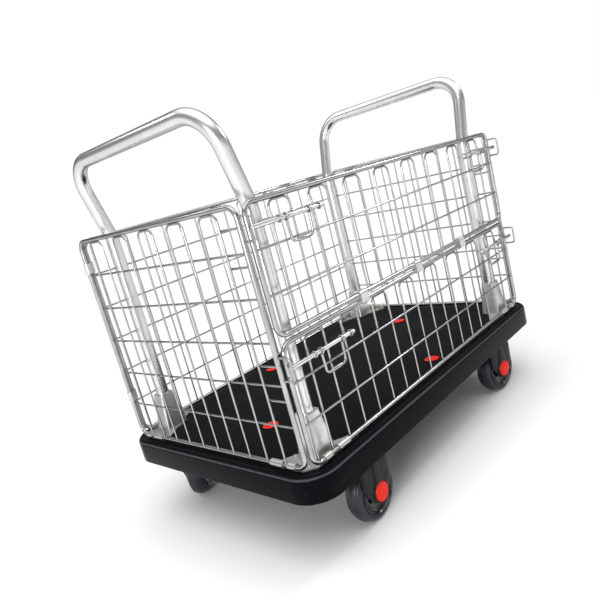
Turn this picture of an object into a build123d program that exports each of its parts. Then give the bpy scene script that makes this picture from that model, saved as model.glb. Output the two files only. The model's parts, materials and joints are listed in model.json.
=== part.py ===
"""Folding platform cart: a moulded deck on four swivel casters, two tube handles,
and a wire cage whose front side folds outward in two flaps.

Millimetres, +Z up. The origin is on the floor under the middle of the deck,
+X runs along the deck, and the side with the flaps faces -Y.
"""

import os
from math import cos, radians, sin

from build123d import *

os.makedirs("parts", exist_ok=True)

# Deck
deck_length = 920.0
deck_width = 580.0
deck_corner = 62.0
deck_height = 182.0  # load face above the floor
rim_height = 49.0
rim_wall = 5.0
deck_thickness = 6.0
shoulder = 8.0  # rounding between the load face and the rim
rim_edge = 1.5  # rounding of the rim's lower edge
rib_thickness = 4.0
rib_depth = 24.0
rib_pitch = 120.0
ribs_along, ribs_across = 3, 5
pad_margin = 6.0  # caster pad beyond the caster plate
plug_diameter = 34.0
plug_dome = 2.6
plug_recess = 2.0
plug_end_inset, plug_across = 148.0, 40.0  # the end pair of plugs
plug_mid_along, plug_side_inset = 52.0, 75.0  # the side pair of plugs

# Cage
cage_end_inset = 25.0  # deck end to the centre plane of an end panel
cage_side_inset = 27.0  # deck side to the centre plane of a long side
cage_height = 447.0  # bottom rod to top rod
rod_lift = 8.0  # bottom rod centre above the load face
rod_diameter = 9.0
rod_bend = 20.0
wire_diameter = 4.0
wire_bend = 12.0
corner_gap = 4.0  # clear space between the two rods at a cage corner
corner_step = 7.0  # across the cart, between those two rods
side_margin = 54.3  # from the panel's side rod to the first paired wire
side_wires = 16
end_margin = 46.3
end_wires = 10
row_count = 5
edge_wire_inset = 15.0
flap_gap = 3.5  # clear space between the two middle rods
rung_steps = (3.0, -59.0)  # short rungs, from the height of each latch
clip_wall = 2.2
clip_height = 22.0
clip_low, clip_high = 92.0, 57.0  # clips from the bottom rod and from the top rod
flap_clip_pitches = 4  # upright wires between two flap clips

# Handles
tube_diameter = 28.0
tube_wall = 1.8
leg_inset = 60.0  # leg centre line inside the end panel plane
leg_side_inset = 37.5  # leg centre line inside the long panel plane
bend_height = 440.0  # above the bottom rods
grip_height = 600.0  # above the bottom rods
grip_lean = 38.0
grip_bend = 66.0
lean_bend = 90.0
socket_depth = 22.0

# Corner plates and shoes
plate_thickness = 2.5
plate_lip = 12.0  # width of the plate at its two far ends
plate_tail = 30.0  # plate beyond its farther sleeve, along the cart
plate_collar = 12.0  # plate round the leg's hole
sleeve_wall = 2.5
sleeve_length = 30.0
corner_sleeve_length = 18.0  # the sleeve nearest each corner
socket_wall = 7.0
socket_floor = 5.0
shoe_wall = 2.6
shoe_height = 80.0
shoe_length, shoe_width = 56.0, 46.0  # at the foot of each shoe
shoe_corner = 5.0
screw_diameter = 4.0
screw_length = 12.0
screw_head = 8.0
screw_head_height = 2.4
screw_offsets = [(18, 20), (16, 74), (98, 13), (36, 70)]  # along and across, from the cage corner

# Latches
latch_diameter = 8.0
latch_stand_off = 14.0  # latch rod centre outside the flap plane
latch_drop = 37.0  # below the flap's top rod
latch_back = 3.5  # clear space between the drawn-back tip and its keeper
latch_tail = 10.0  # rod beyond the inner eye
latch_chamfer = 1.0
eye_wire = 2.8
eye_stem = 2.4
keeper_wire = 4.0
keeper_height = 40.0
keeper_gap = 2.5  # between the keeper's bar and the latch rod
keeper_bend = 6.0
bail_wire = 4.6
bail_width = 56.0
bail_depth = 42.0
bail_taper = 2.0
bail_bend = 7.0
bail_grip = 7.0
bail_grip_inset = 14.0
bail_ring_wall = 3.0
bail_from_eye = 16.0  # outer bail leg to the outer eye

# Casters
wheel_diameter = 120.0
tyre_width = 36.0
tyre_depth = 15.0
tyre_round = 10.0
hub_width = 39.0
hub_lip = 3.0
hub_dish = 4.0
hub_boss = 14.0
caster_end_inset = 135.0  # deck end to the swivel axis
caster_side_inset = 45.0
caster_trail = 38.0
mount_height = 144.0  # top of the caster plate above the floor
mount_length = 95.0
mount_width = 74.0
mount_thickness = 4.0
mount_corner = 8.0
bolt_along = 72.0
bolt_across = 54.0
bolt_diameter = 8.0
bolt_reach = 14.0  # thread above the caster plate
bolt_head = 7.4
bolt_head_height = 5.3
race_radius = 27.0
race_height = 9.0
race_taper = 8.0
pin_radius = 6.0
washer_reach = 3.0
washer_height = 3.0
crown_radius = 29.0
crown_thickness = 6.5
fork_gap = 40.0
fork_wall = 4.5
fork_shoulder = 14.0
fork_shoulder_shift = 4.0
lobe_radius = 21.0
tyre_room = 4.0  # inside the fork, round the tyre
axle_radius = 5.0
axle_nut = 8.5
axle_nut_height = 5.0
cap_radius = 19.0
cap_height = 8.0
cap_skin = 2.0
caster_turns = {  # degrees about +Z that each caster stands at
    "front_left": 182.0,
    "front_right": -8.0,
    "rear_left": 44.0,
    "rear_right": 168.0,
}

# Clearances
running = 0.08  # shaft in hole, on the radius
seat = 0.15  # tube in its socket, on the radius
wire_gap = 0.05  # between the two layers of wire
face_gap = 0.3  # between faces that slide past each other

# Derived places
rod_radius = rod_diameter / 2
wire_radius = wire_diameter / 2
tube_radius = tube_diameter / 2
latch_radius = latch_diameter / 2
wheel_radius = wheel_diameter / 2
cage_length = deck_length - 2 * cage_end_inset
cage_width = deck_width - 2 * cage_side_inset
rim_bottom = deck_height - rim_height
deck_under = deck_height - deck_thickness
floor_rod = deck_height + rod_lift
top_rod = floor_rod + cage_height
row_pitch = cage_height / (row_count + 1)
end_plane = cage_length / 2
side_plane = cage_width / 2
corner_along = ((rod_diameter + corner_gap) ** 2 - corner_step**2) ** 0.5
side_half = end_plane - corner_along  # half length of the long panels
end_half = side_plane - corner_step  # half width of the end panels
side_pitch = 2 * (side_half - side_margin) / (side_wires - 1)
end_pitch = 2 * (end_half - end_margin) / (end_wires - 1)
side_sleeve = (side_wires / 2 - 1) * side_pitch  # midway between two upright wires
end_sleeve = (end_wires / 2 - 1) * end_pitch
side_corner_sleeve = side_half - (edge_wire_inset + side_margin) / 2  # between the next two wires
end_corner_sleeve = end_half - (rod_bend + end_margin) / 2
plate_along = end_plane - side_sleeve + sleeve_length / 2 + plate_tail
plate_across = side_plane - end_sleeve + sleeve_length / 2
middle_rod = floor_rod + cage_height / 2
lower_top = middle_rod - (rod_diameter + flap_gap) / 2
upper_bottom = middle_rod + (rod_diameter + flap_gap) / 2
leg_along = end_plane - leg_inset
leg_across = side_plane - leg_side_inset
plate_top = deck_height + plate_thickness
latch_plane = -side_plane - latch_stand_off
latch_tip = end_plane - keeper_wire / 2 - latch_back
hub_radius = wheel_radius - tyre_depth
caster_along = deck_length / 2 - caster_end_inset
caster_across = deck_width / 2 - caster_side_inset
plug_along = deck_length / 2 - plug_end_inset
plug_mid_across = deck_width / 2 - plug_side_inset
corners = [
    ("front_left", -1, -1),
    ("front_right", 1, -1),
    ("rear_left", -1, 1),
    ("rear_right", 1, 1),
]


def save(piece, name):
    """Label a finished piece and write it to its own STEP file."""
    piece.label = name
    export_step(piece, f"parts/{name}.step")


def bent_rod(plane, points, radius, bend, closed=False):
    """A round rod bent along the corners of a line that lies on a plane."""
    with BuildPart() as rod:
        with BuildLine(plane) as route:
            FilletPolyline(*points, radius=bend, close=closed)
        start = route.wire()
        with BuildSketch(Plane(origin=start @ 0, z_dir=start % 0)):
            Circle(radius)
        sweep()
    return rod.part


def straight_rod(plane, start, end, radius):
    """A round rod between two points of a plane."""
    with BuildPart() as rod:
        with BuildLine(plane) as route:
            Line(start, end)
        with BuildSketch(Plane(origin=route.line @ 0, z_dir=route.line % 0)):
            Circle(radius)
        sweep()
    return rod.part


def frame_loop(plane, half, low, high):
    """The closed outer rod of a wire panel, from its half length and its two heights."""
    points = [(-half, low), (half, low), (half, high), (-half, high)]
    return bent_rod(plane, points, rod_radius, rod_bend, closed=True)


def hairpins(plane, pitch, count, low, high):
    """Upright wires in pairs, each pair one wire bent over under the top rod."""
    top = high - rod_radius - wire_radius
    bottom = low + rod_radius
    first = -(count - 1) / 2 * pitch
    pairs = []
    for pair in range(count // 2):
        left = first + 2 * pair * pitch
        right = left + pitch
        points = [(left, bottom), (left, top), (right, top), (right, bottom)]
        pairs.append(bent_rod(plane, points, wire_radius, wire_bend))
    return pairs


def rows(plane, half, heights):
    """Level wires from side rod to side rod of a panel."""
    end = half - rod_radius
    return [straight_rod(plane, (-end, h), (end, h), wire_radius) for h in heights]


def edge_wires(plane, half, low, high):
    """The extra upright wire just inside each side rod of a long panel."""
    place = half - edge_wire_inset
    bottom, top = low + rod_radius, high - rod_radius
    return [straight_rod(plane, (s * place, bottom), (s * place, top), wire_radius) for s in (-1, 1)]


layer = wire_radius + wire_gap / 2
row_heights = [floor_rod + row_pitch * (i + 1) for i in range(row_count)]

# Moulded deck: a shell open below, with ribs, caster pads and handle sockets
rib_bottom = deck_under - rib_depth
pad_length = mount_length + 2 * pad_margin
pad_width = mount_width + 2 * pad_margin
inside_length = deck_length - 2 * rim_wall
inside_width = deck_width - 2 * rim_wall
caster_spots = [(x * caster_along, y * caster_across) for _, x, y in corners]
leg_spots = [(x * leg_along, y * leg_across) for _, x, y in corners]
plug_spots = [
    (-plug_along, -plug_across),
    (plug_along, plug_across),
    (-plug_mid_along, plug_mid_across),
    (plug_mid_along, -plug_mid_across),
]
screw_spots = [
    (x * (end_plane - along), y * (side_plane - across))
    for _, x, y in corners
    for along, across in screw_offsets
]
socket_bottom = deck_height - socket_depth

with BuildPart() as deck:
    with BuildSketch(Plane.XY.offset(rim_bottom)):
        RectangleRounded(deck_length, deck_width, deck_corner)
    extrude(amount=rim_height)
    fillet(deck.faces().sort_by(Axis.Z)[-1].edges(), shoulder)
    fillet(deck.faces().sort_by(Axis.Z)[0].edges(), rim_edge)
    with BuildSketch(Plane.XY.offset(rim_bottom)):
        RectangleRounded(inside_length, inside_width, deck_corner - rim_wall)
    extrude(amount=rim_height - deck_thickness, mode=Mode.SUBTRACT)
    with BuildSketch(Plane.XY.offset(rib_bottom)):
        with GridLocations(0, rib_pitch, 1, ribs_along):
            Rectangle(inside_length, rib_thickness)
        with GridLocations(rib_pitch, 0, ribs_across, 1):
            Rectangle(rib_thickness, inside_width)
    extrude(until=Until.NEXT)
    with BuildSketch(Plane.XY.offset(mount_height)):
        with Locations(*caster_spots):
            RectangleRounded(pad_length, pad_width, mount_corner)
    extrude(amount=deck_under - mount_height)
    with BuildSketch(Plane.XY.offset(socket_bottom - socket_floor)):
        with Locations(*leg_spots):
            Circle(tube_radius + socket_wall)
    extrude(amount=socket_depth)
    with BuildSketch(Plane.XY.offset(deck_height)):
        with Locations(*leg_spots):
            Circle(tube_radius + seat)
    extrude(amount=-socket_depth, mode=Mode.SUBTRACT)
    with BuildSketch(Plane.XY.offset(deck_height)):
        with Locations(*plug_spots):
            Circle(plug_diameter / 2)
    extrude(amount=-plug_recess, mode=Mode.SUBTRACT)
    with BuildSketch(Plane.XY.offset(deck_height)):
        with Locations(*screw_spots):
            Circle(screw_diameter / 2)
    extrude(amount=-(screw_length - plate_thickness), mode=Mode.SUBTRACT)
    with BuildSketch(Plane.XY.offset(mount_height)):
        with Locations(*caster_spots):
            with GridLocations(bolt_along, bolt_across, 2, 2):
                Circle(bolt_diameter / 2)
    extrude(amount=bolt_reach, mode=Mode.SUBTRACT)
save(deck.part, "deck")

with BuildPart() as deck_plugs:
    with BuildSketch(Plane.XY.offset(deck_height - plug_recess)):
        with Locations(*plug_spots):
            Circle(plug_diameter / 2)
    extrude(amount=plug_recess + plug_dome)
    fillet(deck_plugs.faces().filter_by(Plane.XY).group_by(Axis.Z)[-1].edges(), 0.9 * plug_dome)
save(deck_plugs.part, "deck_plugs")

# Corner plates with rolled sleeves round the bottom rods
sleeve_radius = rod_radius + running + sleeve_wall
shoe_radius = tube_radius + seat + shoe_wall
shoe_inner_corner = shoe_corner - shoe_wall
for name, x, y in corners:
    sleeves = [
        Plane(origin=(x * side_sleeve, y * side_plane, floor_rod), z_dir=(1, 0, 0)),
        Plane(origin=(x * end_plane, y * end_sleeve, floor_rod), z_dir=(0, 1, 0)),
    ]
    corner_sleeves = [
        Plane(origin=(x * side_corner_sleeve, y * side_plane, floor_rod), z_dir=(1, 0, 0)),
        Plane(origin=(x * end_plane, y * end_corner_sleeve, floor_rod), z_dir=(0, 1, 0)),
    ]
    with BuildPart() as corner_plate:
        with BuildSketch(Plane.XY.offset(deck_height)):
            with BuildLine():
                Polyline(
                    (x * end_plane, y * (side_plane - rod_bend)),
                    (x * (end_plane - rod_bend), y * side_plane),
                    (x * (end_plane - plate_along), y * side_plane),
                    (x * (end_plane - plate_along), y * (side_plane - plate_lip)),
                    (x * (end_plane - plate_lip), y * (side_plane - plate_across)),
                    (x * end_plane, y * (side_plane - plate_across)),
                    close=True,
                )
            make_face()
            with Locations((x * leg_along, y * leg_across)):
                Circle(tube_radius + plate_collar)
        extrude(amount=plate_thickness)
        with BuildSketch(*sleeves):
            Circle(sleeve_radius)
        extrude(amount=sleeve_length / 2, both=True)
        with BuildSketch(*corner_sleeves):
            Circle(sleeve_radius)
        extrude(amount=corner_sleeve_length / 2, both=True)
        with BuildSketch(*sleeves, *corner_sleeves):
            Circle(rod_radius + running)
        extrude(amount=sleeve_length, both=True, mode=Mode.SUBTRACT)
        with BuildSketch(Plane.XY.offset(deck_height)):
            with Locations((x * leg_along, y * leg_across)):
                Circle(tube_radius + seat)
            with Locations(*[(x * (end_plane - a), y * (side_plane - c)) for a, c in screw_offsets]):
                Circle(screw_diameter / 2)
        extrude(amount=plate_thickness, mode=Mode.SUBTRACT)
    save(corner_plate.part, f"corner_plate_{name}")

with BuildPart() as plate_screws:
    with BuildSketch(Plane.XY.offset(plate_top)):
        with Locations(*screw_spots):
            Circle(screw_head / 2)
    extrude(amount=screw_head_height)
    fillet(plate_screws.faces().filter_by(Plane.XY).group_by(Axis.Z)[-1].edges(), screw_head_height / 2)
    with BuildSketch(Plane.XY.offset(plate_top)):
        with Locations(*screw_spots):
            Circle(screw_diameter / 2)
    extrude(amount=-screw_length)
save(plate_screws.part, "plate_screws")

# Sheet metal shoes round the handle legs, four-sided and wider at the foot
for name, x, y in corners:
    leg_plane = Plane(origin=(x * leg_along, y * leg_across, plate_top))
    with BuildPart() as shoe:
        with BuildSketch(leg_plane):
            RectangleRounded(shoe_length, shoe_width, shoe_corner)
        with BuildSketch(leg_plane.offset(shoe_height)):
            RectangleRounded(2 * shoe_radius, 2 * shoe_radius, shoe_corner)
        loft()
        with BuildSketch(leg_plane):
            RectangleRounded(shoe_length - shoe_wall * 2, shoe_width - shoe_wall * 2, shoe_inner_corner)
        with BuildSketch(leg_plane.offset(shoe_height)):
            Circle(tube_radius + seat)
        loft(mode=Mode.SUBTRACT)
        with BuildSketch(leg_plane):
            Circle(tube_radius + seat)
        extrude(amount=shoe_height, mode=Mode.SUBTRACT)
    save(shoe.part, f"leg_shoe_{name}")

# Handles: one bent tube each, upright in its sockets and leaning outward at the top
for name, x in (("left", -1), ("right", 1)):
    grip_along = leg_along + grip_lean
    points = [
        (x * leg_along, -leg_across, socket_bottom),
        (x * leg_along, -leg_across, floor_rod + bend_height),
        (x * grip_along, -leg_across, floor_rod + grip_height),
        (x * grip_along, leg_across, floor_rod + grip_height),
        (x * leg_along, leg_across, floor_rod + bend_height),
        (x * leg_along, leg_across, socket_bottom),
    ]
    with BuildPart() as handle:
        with BuildLine() as route:
            FilletPolyline(*points, radius=(lean_bend, grip_bend, grip_bend, lean_bend))
        with BuildSketch(Plane(origin=points[0], z_dir=(0, 0, 1))):
            Circle(tube_radius)
            Circle(tube_radius - tube_wall, mode=Mode.SUBTRACT)
        sweep()
    save(handle.part, f"{name}_handle")

# End panels, fixed, with short rungs beside the latch keepers
latch_heights = {"lower": lower_top - latch_drop, "upper": top_rod - latch_drop}
rung_heights = [h + step for h in latch_heights.values() for step in rung_steps]
for name, x in (("left", -1), ("right", 1)):
    frame_plane = Plane(origin=(x * end_plane, 0, 0), x_dir=(0, 1, 0), z_dir=(1, 0, 0))
    upright_plane = frame_plane.offset(x * layer)
    level_plane = frame_plane.offset(-x * layer)
    last_wire = -(end_wires - 1) / 2 * end_pitch
    rungs = [
        straight_rod(level_plane, (-end_half + rod_radius, h), (last_wire + wire_radius, h), wire_radius)
        for h in rung_heights
    ]
    rods = [
        frame_loop(frame_plane, end_half, floor_rod, top_rod),
        *hairpins(upright_plane, end_pitch, end_wires, floor_rod, top_rod),
        *rows(level_plane, end_half, row_heights),
        *rungs,
    ]
    with BuildPart() as end_panel:
        add(rods)
    save(end_panel.part, f"{name}_end_panel")


def long_panel(plane_y, low, high, heights):
    """All the rods of a long panel: its frame, its upright wires and its level wires."""
    frame_plane = Plane(origin=(0, plane_y, 0), x_dir=(1, 0, 0), z_dir=(0, -1, 0))
    upright_plane = frame_plane.offset(layer if plane_y > 0 else -layer)
    level_plane = frame_plane.offset(-layer if plane_y > 0 else layer)
    return [
        frame_loop(frame_plane, side_half, low, high),
        *hairpins(upright_plane, side_pitch, side_wires, low, high),
        *edge_wires(upright_plane, side_half, low, high),
        *rows(level_plane, side_half, heights),
    ]


with BuildPart() as rear_panel:
    add(long_panel(side_plane, floor_rod, top_rod, row_heights))
save(rear_panel.part, "rear_panel")

with BuildPart() as lower_flap:
    heights = [h for h in row_heights if h < lower_top - wire_bend]
    add(long_panel(-side_plane, floor_rod, lower_top, heights))
save(lower_flap.part, "lower_flap")

with BuildPart() as upper_flap:
    heights = [h for h in row_heights if h > upper_bottom + wire_bend]
    add(long_panel(-side_plane, upper_bottom, top_rod, heights))
save(upper_flap.part, "upper_flap")

# Figure-eight clips: round the two rods at each rear corner, and round the two middle rods
clip_radius = rod_radius + running + clip_wall
with BuildPart() as corner_clips:
    for height in (floor_rod + clip_low, top_rod - clip_high):
        for x in (-1, 1):
            pair = [(x * end_plane, end_half), (x * side_half, side_plane)]
            with BuildSketch(Plane.XY.offset(height)):
                with Locations(*pair):
                    Circle(clip_radius)
                make_hull()
                with Locations(*pair):
                    Circle(rod_radius + running, mode=Mode.SUBTRACT)
            extrude(amount=clip_height / 2, both=True)
save(corner_clips.part, "corner_clips")

with BuildPart() as flap_clips:
    for place in (-flap_clip_pitches * side_pitch, 0, flap_clip_pitches * side_pitch):
        clip_plane = Plane(origin=(place, -side_plane, 0), x_dir=(0, 1, 0), z_dir=(1, 0, 0))
        pair = [(0, lower_top), (0, upper_bottom)]
        with BuildSketch(clip_plane):
            with Locations(*pair):
                Circle(clip_radius)
            make_hull()
            with Locations(*pair):
                Circle(rod_radius + running, mode=Mode.SUBTRACT)
        extrude(amount=clip_height / 2, both=True)
save(flap_clips.part, "flap_clips")

# Latch keepers: wire staples on the front corner rods of the end panels
keeper_front = -latch_plane + latch_radius + keeper_gap + keeper_wire / 2
with BuildPart() as latch_keepers:
    for x in (-1, 1):
        keeper_plane = Plane(origin=(x * end_plane, 0, 0), x_dir=(0, 1, 0), z_dir=(1, 0, 0))
        for height in latch_heights.values():
            low, high = height - keeper_height / 2, height + keeper_height / 2
            root = -end_half - rod_radius
            points = [(root, high), (-keeper_front, high), (-keeper_front, low), (root, low)]
            add(bent_rod(keeper_plane, points, keeper_wire / 2, keeper_bend))
save(latch_keepers.part, "latch_keepers")

# Latch eyes: rings round the latch rods, each on a short stem from an upright wire
outer_eye = (side_wires - 1) / 2 * side_pitch
inner_eye = outer_eye - 2 * side_pitch
eye_inner = latch_radius + running
for flap, height in latch_heights.items():
    with BuildPart() as latch_eyes:
        for x in (-outer_eye, -inner_eye, inner_eye, outer_eye):
            ring_plane = Plane(origin=(x, latch_plane, height), z_dir=(1, 0, 0))
            stem_plane = Plane(origin=(x, latch_plane, height), z_dir=(0, 1, 0))
            with BuildSketch(ring_plane):
                Circle(eye_inner + eye_wire)
            extrude(amount=eye_wire / 2, both=True)
            with BuildSketch(stem_plane.offset(eye_inner + eye_wire / 2)):
                Circle(eye_stem / 2)
            extrude(amount=latch_stand_off - eye_inner - eye_wire / 2)
            with BuildSketch(ring_plane):
                Circle(eye_inner)
            extrude(amount=eye_wire, both=True, mode=Mode.SUBTRACT)
    save(latch_eyes.part, f"{flap}_latch_eyes")

# Latch rods, drawn back from the keepers, and the bails that turn them
bail_outer = outer_eye - bail_from_eye
bail_inner = bail_outer - bail_width
bail_top = -eye_inner - 1  # the legs start inside the bail's rings
latch_length = latch_tip - inner_eye + latch_tail
for flap, height in latch_heights.items():
    for side, x in (("left", -1), ("right", 1)):
        with BuildPart() as latch_rod:
            with BuildSketch(Plane(origin=(x * latch_tip, latch_plane, height), z_dir=(-x, 0, 0))):
                Circle(latch_radius)
            extrude(amount=latch_length)
            chamfer(latch_rod.faces().filter_by(Axis.X).edges(), latch_chamfer)
        save(latch_rod.part, f"latch_rod_{flap}_{side}")

        bail_plane = Plane(origin=(0, latch_plane, height), x_dir=(x, 0, 0), z_dir=(0, -x, 0))
        with BuildPart() as bail:
            with BuildLine(bail_plane):
                FilletPolyline(
                    (bail_outer, bail_top),
                    (bail_outer - bail_taper, -bail_depth),
                    (bail_inner + bail_taper, -bail_depth),
                    (bail_inner, bail_top),
                    radius=bail_bend,
                )
            leg_start = Plane(origin=(x * bail_outer, latch_plane, height + bail_top))
            with BuildSketch(leg_start):
                Circle(bail_wire / 2)
            sweep()
            grip_middle = x * (bail_inner + bail_outer) / 2
            with BuildSketch(Plane(origin=(grip_middle, latch_plane, height - bail_depth), z_dir=(1, 0, 0))):
                Circle(bail_grip / 2)
            extrude(amount=bail_width / 2 - bail_grip_inset, both=True)
            for place in (bail_outer, bail_inner):
                ring_plane = Plane(origin=(x * place, latch_plane, height), z_dir=(1, 0, 0))
                with BuildSketch(ring_plane):
                    Circle(eye_inner + bail_ring_wall)
                extrude(amount=bail_wire / 2, both=True)
                with BuildSketch(ring_plane):
                    Circle(eye_inner)
                extrude(amount=bail_wire, both=True, mode=Mode.SUBTRACT)
        save(bail.part, f"latch_bail_{flap}_{side}")

# Casters
crown_top = mount_height - mount_thickness - race_height - face_gap
crown_bottom = crown_top - crown_thickness
washer_bottom = crown_bottom - face_gap - washer_height
fork_outer = fork_gap / 2 + fork_wall
for name, x, y in corners:
    spot = Vector(x * caster_along, y * caster_across, 0)
    turn = radians(caster_turns[name])
    heading = Vector(cos(turn), sin(turn), 0)  # from the wheel towards the swivel
    across = Vector(-sin(turn), cos(turn), 0)  # along the axle
    hub_point = spot - heading * caster_trail + Vector(0, 0, wheel_radius)
    swivel_plane = Plane(origin=spot, x_dir=heading, z_dir=(0, 0, 1))
    side_view = Plane(origin=spot, x_dir=heading, z_dir=-across)
    axle_plane = Plane(origin=hub_point, x_dir=heading, z_dir=across)

    with BuildPart() as caster_plate:
        with BuildSketch(Plane(origin=spot).offset(mount_height - mount_thickness)):
            RectangleRounded(mount_length, mount_width, mount_corner)
            with GridLocations(bolt_along, bolt_across, 2, 2):
                Circle(bolt_diameter / 2 + seat, mode=Mode.SUBTRACT)
        extrude(amount=mount_thickness)
        with BuildSketch(Plane(origin=spot).offset(mount_height - mount_thickness)):
            Circle(race_radius)
        extrude(amount=-race_height, taper=race_taper)
        with BuildSketch(Plane(origin=spot).offset(washer_bottom)):
            Circle(pin_radius)
        extrude(amount=crown_top - washer_bottom + race_height)
        with BuildSketch(Plane(origin=spot).offset(washer_bottom)):
            Circle(pin_radius + washer_reach)
        extrude(amount=washer_height)
    save(caster_plate.part, f"caster_plate_{name}")

    with BuildPart() as yoke:
        with BuildSketch(side_view):
            with Locations((fork_shoulder_shift, crown_top - fork_shoulder)):
                Circle(fork_shoulder)
            with Locations((-caster_trail, wheel_radius)):
                Circle(lobe_radius)
            make_hull()
        extrude(amount=fork_outer, both=True)
        with BuildSketch(swivel_plane.offset(crown_bottom)):
            Circle(crown_radius)
        extrude(amount=crown_thickness)
        with BuildSketch(side_view):
            with Locations((-caster_trail, wheel_radius)):
                Circle(wheel_radius + tyre_room)
            with Locations((0, (wheel_radius + crown_bottom) / 2)):
                Rectangle(3 * crown_radius, crown_bottom - wheel_radius)
        extrude(amount=fork_gap / 2, both=True, mode=Mode.SUBTRACT)
        with BuildSketch(swivel_plane.offset(crown_bottom)):
            Circle(pin_radius + running)
        extrude(amount=crown_thickness, mode=Mode.SUBTRACT)
        with BuildSketch(axle_plane):
            Circle(axle_radius + running)
        extrude(amount=fork_outer, both=True, mode=Mode.SUBTRACT)
    save(yoke.part, f"caster_yoke_{name}")

    with BuildPart() as axle:
        with BuildSketch(axle_plane):
            Circle(axle_radius)
        extrude(amount=fork_outer + axle_nut_height, both=True)
        with BuildSketch(axle_plane.offset(fork_outer), axle_plane.offset(-fork_outer - axle_nut_height)):
            RegularPolygon(axle_nut, 6)
        extrude(amount=axle_nut_height)
    save(axle.part, f"caster_axle_{name}")

    with BuildPart() as caps:
        with BuildSketch(axle_plane.offset(fork_outer)):
            Circle(cap_radius)
        extrude(amount=cap_height)
        with BuildSketch(axle_plane.offset(-fork_outer)):
            Circle(cap_radius)
        extrude(amount=-cap_height)
        outer_rims = caps.faces().filter_by(lambda f: f.geom_type == GeomType.PLANE)
        outer_rims = outer_rims.sort_by(lambda f: -(f.center() - hub_point).length)[0:2]
        fillet(outer_rims.edges(), cap_height - cap_skin)
        with BuildSketch(axle_plane):
            Circle(axle_nut + running)
        extrude(amount=fork_outer + cap_height - cap_skin, both=True, mode=Mode.SUBTRACT)
    save(caps.part, f"caster_caps_{name}")

    with BuildPart() as hub:
        with BuildSketch(axle_plane):
            Circle(hub_radius)
            Circle(axle_radius + running, mode=Mode.SUBTRACT)
        extrude(amount=tyre_width / 2, both=True)
        with BuildSketch(axle_plane.offset(tyre_width / 2 - hub_dish), axle_plane.offset(-tyre_width / 2)):
            Circle(hub_radius - hub_lip)
            Circle(hub_boss, mode=Mode.SUBTRACT)
        extrude(amount=hub_dish, mode=Mode.SUBTRACT)
        with BuildSketch(axle_plane):
            Circle(hub_boss)
            Circle(axle_radius + running, mode=Mode.SUBTRACT)
        extrude(amount=hub_width / 2, both=True)
    save(hub.part, f"wheel_hub_{name}")

    with BuildPart() as tyre:
        with BuildSketch(axle_plane):
            Circle(wheel_radius)
            Circle(hub_radius, mode=Mode.SUBTRACT)
        extrude(amount=tyre_width / 2, both=True)
        outer_edges = tyre.edges().filter_by(lambda e: e.length > 6 * (wheel_radius - 1))
        fillet(outer_edges, tyre_round)
    save(tyre.part, f"tyre_{name}")

with BuildPart() as caster_bolts:
    with BuildSketch(Plane.XY.offset(mount_height - mount_thickness)):
        with Locations(*caster_spots):
            with GridLocations(bolt_along, bolt_across, 2, 2):
                RegularPolygon(bolt_head, 6)
    extrude(amount=-bolt_head_height)
    with BuildSketch(Plane.XY.offset(mount_height - mount_thickness)):
        with Locations(*caster_spots):
            with GridLocations(bolt_along, bolt_across, 2, 2):
                Circle(bolt_diameter / 2)
    extrude(amount=mount_thickness + bolt_reach)
save(caster_bolts.part, "caster_bolts")
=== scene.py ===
# %% [markdown]
# # Folding platform cart
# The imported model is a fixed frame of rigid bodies. This script hangs finished surfaces on
# those bodies. Where a piece sits, and its outer size, come from the frame. Its finer sizes,
# such as a wire's radius or the step of a profile, are written beside it, in metres.

import json
from math import pi, radians

import bpy
import numpy as np
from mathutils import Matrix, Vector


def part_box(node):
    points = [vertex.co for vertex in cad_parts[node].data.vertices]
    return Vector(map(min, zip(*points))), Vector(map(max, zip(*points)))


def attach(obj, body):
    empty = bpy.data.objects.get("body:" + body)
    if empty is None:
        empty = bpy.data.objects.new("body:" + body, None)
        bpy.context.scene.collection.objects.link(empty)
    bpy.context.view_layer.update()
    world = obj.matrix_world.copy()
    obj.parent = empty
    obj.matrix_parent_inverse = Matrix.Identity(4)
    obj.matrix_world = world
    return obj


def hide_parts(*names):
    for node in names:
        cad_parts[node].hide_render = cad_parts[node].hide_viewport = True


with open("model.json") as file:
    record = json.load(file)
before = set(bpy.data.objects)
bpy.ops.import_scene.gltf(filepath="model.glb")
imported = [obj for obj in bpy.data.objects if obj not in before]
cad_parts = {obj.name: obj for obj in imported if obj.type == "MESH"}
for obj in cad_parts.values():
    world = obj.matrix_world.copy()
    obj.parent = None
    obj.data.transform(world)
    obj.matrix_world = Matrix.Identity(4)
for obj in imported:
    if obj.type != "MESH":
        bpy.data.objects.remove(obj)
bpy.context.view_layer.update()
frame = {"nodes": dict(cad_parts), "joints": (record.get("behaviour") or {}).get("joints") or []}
joints = {joint["name"]: joint for joint in frame["joints"]}
nodes = frame["nodes"]

# %% [markdown]
# ## From arrays to meshes
# A surface is a grid of points: one direction runs along the piece, the other runs round it.
# Neighbouring points make the four-sided faces, so no loop over vertices is needed. Several
# closed shells can share one mesh, as the wires of a panel do.

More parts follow.
